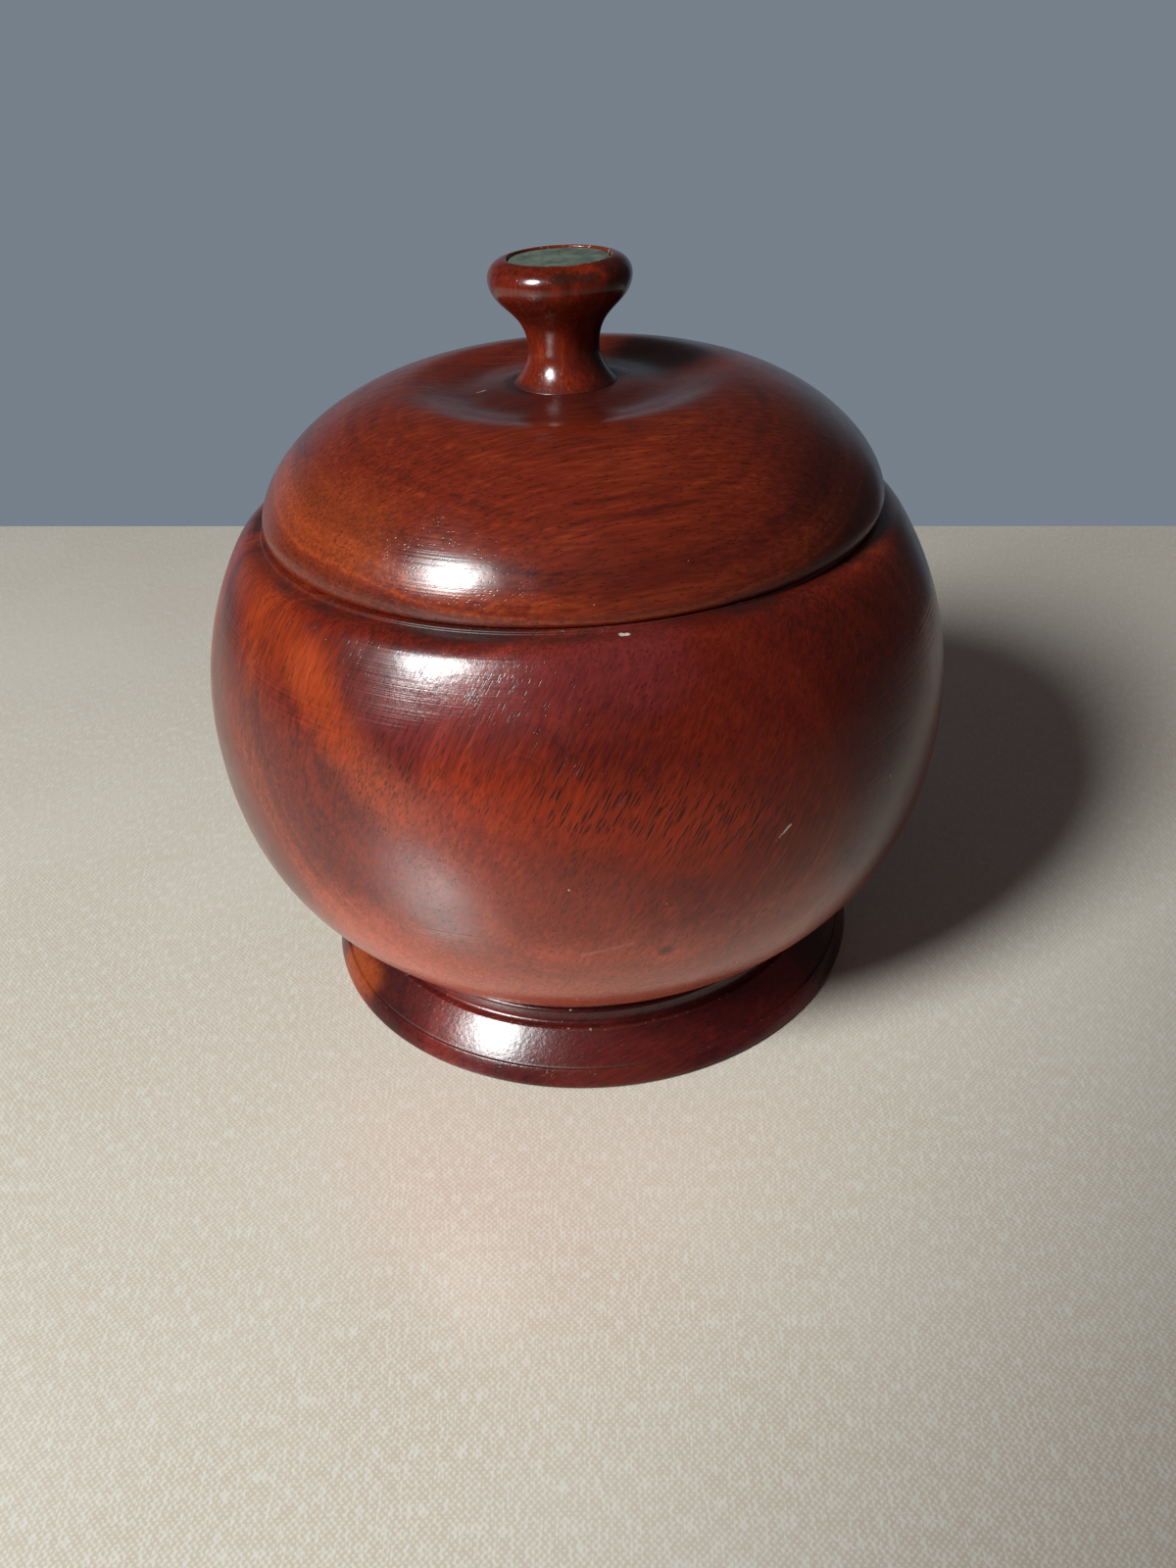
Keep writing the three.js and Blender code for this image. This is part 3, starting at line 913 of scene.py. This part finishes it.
foot_radius, foot_height, hollow_radius, hollow_depth = 79.8, 18, 62, 4
band_height, band_taper, band_step = 5.1, 2.4, 0.5
slope_top, slope_swell, ledge_width = (69.6, 12.5), 0.15, 1
cove_depth, bead_radius, neck_height, neck_taper = 2.7, 1.2, 1.4, 1.4
floor_cut, band_belly = 0.8, 3.0
hole_radius, hole_floor = 34.3, 12.5
band_top = foot_radius - band_taper
slope_start = (band_top - band_step, band_height)
run = Vector(slope_top) - Vector(slope_start)
outward = Vector((run.y, -run.x)).normalized()
swell = (Vector(slope_start) + Vector(slope_top)) / 2 + outward * 2 * slope_swell
ledge_end = (slope_top[0] - ledge_width, slope_top[1])
bead_centre = (slope_top[0] - cove_depth - bead_radius, foot_height - neck_height - bead_radius)
cove_end = (bead_centre[0] + bead_radius, bead_centre[1])
foot_outline = [
    (0, hollow_depth), (hollow_radius - hollow_depth, hollow_depth), (hollow_radius, 0),
    (foot_radius - floor_cut, 0), (foot_radius, floor_cut),
    *bent([(foot_radius, floor_cut + 0.1), (foot_radius - floor_cut, band_belly),
           (band_top, band_height)], 6),
    *bent([slope_start, tuple(swell), slope_top], 16),
    *bent([ledge_end, (cove_end[0], ledge_end[1]), cove_end], 8),
    *arc(*bead_centre, bead_radius, 0, 90, 8), (bead_centre[0] - neck_taper, foot_height),
    (hole_radius, foot_height), (hole_radius, hole_floor), (0, hole_floor),
]
foot_rows = eased(spaced(millimetres(foot_outline), step=2.5 * mm), reach=0.35 * mm)
foot_rows = worn_between(foot_rows, low=11, high=14)
foot = turned("turned_foot", foot_rows, 224, foot_wood)

# %% [markdown]
# ## The bowl
# Nearly a ball, a little fuller below its widest line. The wall is about nine
# millimetres thick and follows the outside, and the mouth has a short upright
# collar for the lid's spigot. The inside was varnished thinly, so it is duller.

# %% Bowl
belly_radius, belly_height, belly_fullness = 100, 85, 2.33
base_radius, shoulder_radius, shoulder_height = 62.8, 86.3, 131.1
rim_height, rim_step, seat_radius, mouth_radius = 136, 0.7, 78.8, 68
seat_height, floor_thickness, wall = 18, 10.4, 9
tenon_radius, tenon_end, collar_height, seam_radius = 34, 13, 7, 80
drop = belly_height - seat_height
low_half = half_height_through(belly_radius, belly_fullness, base_radius, drop)
lower = quarter(0, belly_height, belly_radius, -low_half, belly_fullness,
                sweep_at(low_half, belly_fullness, drop), 0, 60)
rise = shoulder_height - belly_height
high_half = half_height_through(belly_radius, 2, shoulder_radius, rise)
upper = quarter(0, belly_height, belly_radius, high_half, 2,
                0, sweep_at(high_half, 2, rise), 45)
slope = high_half ** 2 * shoulder_radius / (belly_radius ** 2 * rise)
lip_height = rim_height - rim_step
lip = bent([(shoulder_radius, shoulder_height),
            (shoulder_radius - (lip_height - shoulder_height) / slope, lip_height),
            (seat_radius, lip_height)], 12)
skin = sanded(spaced(millimetres([*lower, *upper[1:], *lip[1:]]), step=1.6 * mm), passes=8)
inner_radius = belly_radius - wall
collar_rise = rim_height - collar_height - belly_height
inner_high = half_height_through(inner_radius, 2, mouth_radius, collar_rise)
hollow = [
    (mouth_radius, rim_height),
    *quarter(0, belly_height, inner_radius, inner_high, 2,
             sweep_at(inner_high, 2, collar_rise), 0, 24),
    *quarter(0, belly_height, inner_radius, -(drop - floor_thickness), belly_fullness, 0, 1, 40),
]
tenon = [(0, tenon_end), (tenon_radius, tenon_end), (tenon_radius, seat_height)]
bowl_outline = [*millimetres(tenon), *skin,
                *millimetres([(seat_radius, rim_height), *hollow])]
bowl_rows = eased(spaced(bowl_outline, step=1.7 * mm), reach=0.5 * mm)
# Painted shade with some dirt: the lip darkens under the edge of the lid.
bowl_rows = shade_and_grime_near(bowl_rows, seam_radius, rim_height, reach=3.4)
# The inside starts at the inner corner of the mouth.
top_row = max(range(len(bowl_rows)), key=lambda i: bowl_rows[i][1] * 10 - bowl_rows[i][0])
bowl_rows = [(*row, float(i > top_row)) for i, row in enumerate(bowl_rows)]
bowl = turned("turned_bowl", bowl_rows, 256, bowl_wood)

# %% [markdown]
# ## The lid
# The lid bulges from a rounded edge up to a crest and dips in a shallow dish
# to the knob. A ring under it, the spigot, drops into the mouth with a little
# play. As the jar stands, the lid has slid a little back and right, so its axis
# is moved by that. The lathe's outline could be centred and the piece moved
# afterwards, but a finished piece keeps its place in its own mesh.

# %% Lid
def half_wave(start, end, steps):
    """Half a wave from one point to another, level at both."""
    shares = [i / steps for i in range(1, steps + 1)]
    return [(start[0] + (end[0] - start[0]) * share,
             start[1] + (end[1] - start[1]) * (1 - math.cos(math.pi * share)) / 2)
            for share in shares]


slid_right, slid_back = 1.3, 1.2
slid = (slid_right * mm, slid_back * mm)
lid_radius, edge_round, edge_rise, bulge = 79.5, 1.3, 2.2, 1.6
crest_radius, crest_rise, centre_wall, ceiling_fullness = 40, 30.3, 11.5, 2.6
dish_radius, dish_depth, dish_rise = 25, 2.2, 1.2
spigot_wall, spigot_drop, least_play = 6, 6, 0.4
socket_radius, socket_depth = 6.3, 8.5
spigot_radius = mouth_radius - math.hypot(slid_right, slid_back) - least_play
crest_height = rim_height + crest_rise
knob_seat = crest_height - dish_depth + dish_rise
skirt_radius, skirt_seam = 12.9, 0.3
widest = rim_height + edge_rise
dome = quarter(crest_radius, widest, lid_radius - crest_radius, crest_height - widest,
               bulge, 0, 1, 60)
lowest = (dish_radius, crest_height - dish_depth)
dish = [*half_wave((crest_radius, crest_height), lowest, 18),
        *half_wave(lowest, (skirt_radius + skirt_seam, knob_seat), 14)]
top_skin = sanded(spaced(millimetres([*dome, *dish]), step=1.2 * mm), passes=5)
hollow_radius, spigot_end = spigot_radius - spigot_wall, rim_height - spigot_drop
ceiling = quarter(0, rim_height, hollow_radius, knob_seat - centre_wall - rim_height,
                  ceiling_fullness, 1, 0, 36)
underside = [*ceiling, (hollow_radius, spigot_end), (spigot_radius, spigot_end),
             (spigot_radius, rim_height),
             *arc(lid_radius - edge_round, rim_height + edge_round, edge_round, -90, 0, 8)]
socket_floor = knob_seat - socket_depth
socket = [(socket_radius, knob_seat), (socket_radius, socket_floor), (0, socket_floor)]
lid_outline = [*millimetres(underside), *top_skin, *millimetres(socket)]
lid_rows = eased(spaced(lid_outline, step=1.2 * mm), reach=0.5 * mm)
# Painted shade with some dirt: the lid darkens round the foot of the knob.
lid_rows = shade_and_grime_near(lid_rows, skirt_radius, knob_seat, reach=3.5)
# The underside ends a few points before the widest one, where the edge begins to round.
edge_row = max(range(len(lid_rows)), key=lambda i: lid_rows[i][0])
edge_points = 6
lid_rows = [(*row, float(i < edge_row - edge_points)) for i, row in enumerate(lid_rows)]
lid = turned("turned_lid", lid_rows, 256, lid_wood, slid)

# %% [markdown]
# ## The knob and its stone
# A waisted spindle that flares into the lid below and swells into a cap above.
# The rim round the stone is thin, and it has broken out at the front where the
# knob has been knocked. The break is a dent pressed into the finished mesh.

# %% Knob
waist_radius, waist_rise, skirt_sweep = 8.7, 8, 1.9
cap_radius, cap_rise, knob_rise, cap_lip = 17.4, 24.7, 29, 0.3
neck_stretch, cap_sink = 0.61, 0.58
peg_radius, peg_length, disc_play = 6, 8, 0.3
disc_radius, disc_thickness, disc_sunk, disc_bevel = 12.1, 3, 0.5, 0.3
worn_from, worn_to = 192, 195
waist, cap_widest, knob_top = knob_seat + waist_rise, knob_seat + cap_rise, knob_seat + knob_rise
recess = disc_radius + disc_play
disc_top = knob_top - disc_sunk
disc_floor = disc_top - disc_thickness
skirt = [(waist_radius + (skirt_radius - waist_radius) * (1 - i / 24) ** skirt_sweep,
          knob_seat + waist_rise * i / 24) for i in range(25)]
under_cap = bent([(waist_radius, waist),
                  (waist_radius, waist + (cap_widest - waist) * neck_stretch),
                  (cap_radius, waist + (cap_widest - waist) * cap_sink),
                  (cap_radius, cap_widest)], 32)
cap = quarter(recess + cap_lip, cap_widest, cap_radius - recess - cap_lip,
              knob_top - cap_widest, 2, 0, 1, 14)
knob_skin = [*skirt, *under_cap[1:], *cap[1:]]
knob_skin = sanded(spaced(millimetres(knob_skin), step=0.6 * mm), passes=6)
peg_end = knob_seat - peg_length
peg = [(0, peg_end), (peg_radius, peg_end), (peg_radius, knob_seat)]
stone_bed = [(recess, knob_top - cap_lip), (recess, disc_floor), (0, disc_floor)]
knob_outline = [*millimetres(peg), *knob_skin, *millimetres(stone_bed)]
knob_rows = eased(spaced(knob_outline, step=1.5 * mm), reach=0.25 * mm)
knob_rows = worn_between(knob_rows, worn_from, worn_to)
# Painted shade with some dirt: the knob darkens where it meets the lid.
knob_rows = shade_and_grime_near(knob_rows, skirt_radius, knob_seat, reach=2.2)
knob = turned("turned_knob", knob_rows, 144, knob_wood, slid)


# %% The broken rim
least_wall = 0.05


def press_dent(piece, centre, half_length, half_width, depth):
    """Presses the skin down and in towards the recess, most at the spot's centre."""
    pressed = 0
    for vertex in piece.data.vertices:
        apart = vertex.co - centre
        share = 1 - math.hypot(apart.x / half_length, apart.y / half_width, apart.z / half_width)
        out = Vector((vertex.co.x - slid[0], vertex.co.y - slid[1]))
        room = out.length - (recess + least_wall) * mm
        if share <= 0 or room < 0:
            continue
        ragged = 0.7 + 0.3 * math.sin(vertex.co.x / mm * 5.1) * math.cos(vertex.co.z / mm * 6.3)
        push = depth * ragged * min(1, share * 1.6)
        out = out.normalized() * min(push, room) * 0.8
        vertex.co -= Vector((out.x, out.y, push))
        pressed += 1
    piece.data.update()
    print("dent:", pressed, "points pressed in")


break_place = Vector((5.2, -13.6, knob_top - 0.4)) * mm
press_dent(knob, break_place, half_length=5.5 * mm, half_width=3.2 * mm, depth=0.9 * mm)

# %% Stone disc
disc_outline = [(0, disc_floor), (disc_radius, disc_floor), (disc_radius, disc_top - disc_bevel),
                (disc_radius - disc_bevel, disc_top), (0, disc_top)]
disc_rows = eased(spaced(millimetres(disc_outline), step=1.5 * mm), reach=0.1 * mm)
disc_rows = worn_between(disc_rows, worn_from, worn_to)
disc = turned("ground_stone_disc", disc_rows, 128, stone, slid)

# %% [markdown]
# ## Joining the pieces to the model
# Each finished piece stands for one measured solid and moves with its body:
# the foot and bowl stay, and the lid takes the knob and stone with it.

# %% Ride and replace
for piece, node, body, finish_slot in (
        (foot, "foot", "jar_base", "foot_wood"), (bowl, "bowl", "jar_base", "bowl_wood"),
        (lid, "lid", "lid_assembly", "lid_wood"), (knob, "knob", "lid_assembly", "knob_wood"),
        (disc, "stone_disc", "lid_assembly", "green_stone")):
    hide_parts(node)
    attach(piece, body)
    print(piece.name, "rides on", body)

# %% [markdown]
# ## Table and light
# The table has a pale cloth of coarse plain weave, which shines just enough to
# throw a faint second highlight on the belly. A soft half-shade is painted into
# the cloth's colour at its front right corner, and the cloth ends behind the jar.
# The weave is two crossed waves and two stretched noises: at this size threads
# of their own wouldn't show.

# %% Table
def pale_table():
    material, bench = new_material("pale table cover")
    place = bench.add("ShaderNodeTexCoord").outputs["Object"]
    cloud = bench.noise(bench.scaled(place, 9.0), 3)
    weft = bench.noise(bench.vector("MULTIPLY", place, (260.0, 1500.0, 1.0)), 2, 0.6)
    warp = bench.noise(bench.vector("MULTIPLY", place, (1500.0, 260.0, 1.0)), 2, 0.6)
    waves = [bench.sum("SINE", bench.times(way, math.tau / (1.5 * mm)))
             for way in bench.split(place)[:2]]
    weave = bench.times(bench.sum("ADD", weft, warp), 0.5)
    weave = bench.plus(weave, bench.times(*waves), 0.26)
    colour = bench.blend(bench.ease(cloud, 0.3, 0.7), (0.70, 0.605, 0.49, 1),
                         (0.745, 0.675, 0.565, 1))
    colour = bench.blend(bench.ease(weave, 0.42, 0.68, 0.0, 0.75), colour, (0.88, 0.85, 0.76, 1))
    colour = bench.blend(bench.ease(warp, 0.50, 0.66, 0.0, 0.5), colour, (0.90, 0.89, 0.82, 1))
    # Painted shadow: the cloth's colour darkens towards the front right corner, as if a soft shade
    # fell there.
    toward_painted_shade = bench.vector("DOT_PRODUCT", place, (0.75, -0.66, 0.0), out="Value")
    shade = bench.ease(toward_painted_shade, 0.09, 0.25, 1.0, 0.42)
    colour = bench.blend(1.0, colour, bench.join(shade, shade, shade), "MULTIPLY")
    finish_material(bench, colour, bench.ease(weave, 0.3, 0.7, 0.28, 0.36), weave, 0.3, 0.05,
                    IOR=1.7, Specular_IOR_Level=1.0, Coat_Weight=1.0, Coat_Roughness=0.28)
    return material


half_table, table_end, edge_slope = 1.6, 0.3193, 0.1205
table_mesh = bpy.data.meshes.new("table")
table_mesh.from_pydata([
    (-half_table, -half_table, 0), (half_table, -half_table, 0),
    (half_table, table_end - edge_slope * half_table, 0),
    (-half_table, table_end + edge_slope * half_table, 0)], [], [(0, 1, 2, 3)])
table_mesh.materials.append(pale_table())
table = bpy.data.objects.new("table", table_mesh)
scene.collection.objects.link(table)
print("table ends", table_end, "m behind the jar")

# %% [markdown]
# One soft round light stands far to the left, more than a metre above the
# table. It is large, so the shadow has a soft edge and the highlights on the
# varnish are broad. A second lamp from the right would only weaken them.

# %% Light
light_place = Vector((-1.21, -1.09, 1.34))
light_target = Vector((0, 0, 0.1))
light_data = bpy.data.lights.new("window light", "AREA")
light_data.shape = "ELLIPSE"
light_data.size, light_data.size_y = 0.58, 0.72
light_data.energy, light_data.color = 56, (0.96, 1.0, 1.0)
window_light = bpy.data.objects.new("window light", light_data)
facing = (light_target - light_place).to_track_quat("-Z", "Y").to_matrix().to_4x4()
window_light.matrix_world = Matrix.Translation(light_place) @ facing
scene.collection.objects.link(window_light)
print("light:", round(light_place.length, 2), "m from the jar")

# %% [markdown]
# The room round the table is nearly dark. Only behind the jar, low and a little
# to the left, it brightens to a grey-blue dusk, which gives the back of the lid
# its cool sheen. A world of nodes can do that without any more objects.

# %% Room
world = bpy.data.worlds.new("dusk room")
scene.world = world
world.use_nodes = True
world.node_tree.nodes.clear()
sky = Bench(world.node_tree)
right, back, up = sky.split(sky.add("ShaderNodeTexCoord").outputs["Generated"])
behind = sky.times(sky.ease(back, 0.45, 0.80), sky.ease(right, 0.47, 0.64, 1.0, 0.0))
low = sky.ease(up, 0.02, 0.42, 1.0, 0.0)
room = sky.blend(sky.times(behind, low), (0.045, 0.036, 0.036, 1), (0.18, 0.217, 0.258, 1))
air = sky.add("ShaderNodeBackground", {"Color": room, "Strength": 1.0})
sky.add("ShaderNodeOutputWorld", {"Surface": air.outputs[0]})
scene.view_settings.view_transform = "Standard"
print("room:", len(sky.tree.nodes), "nodes")

# %% [markdown]
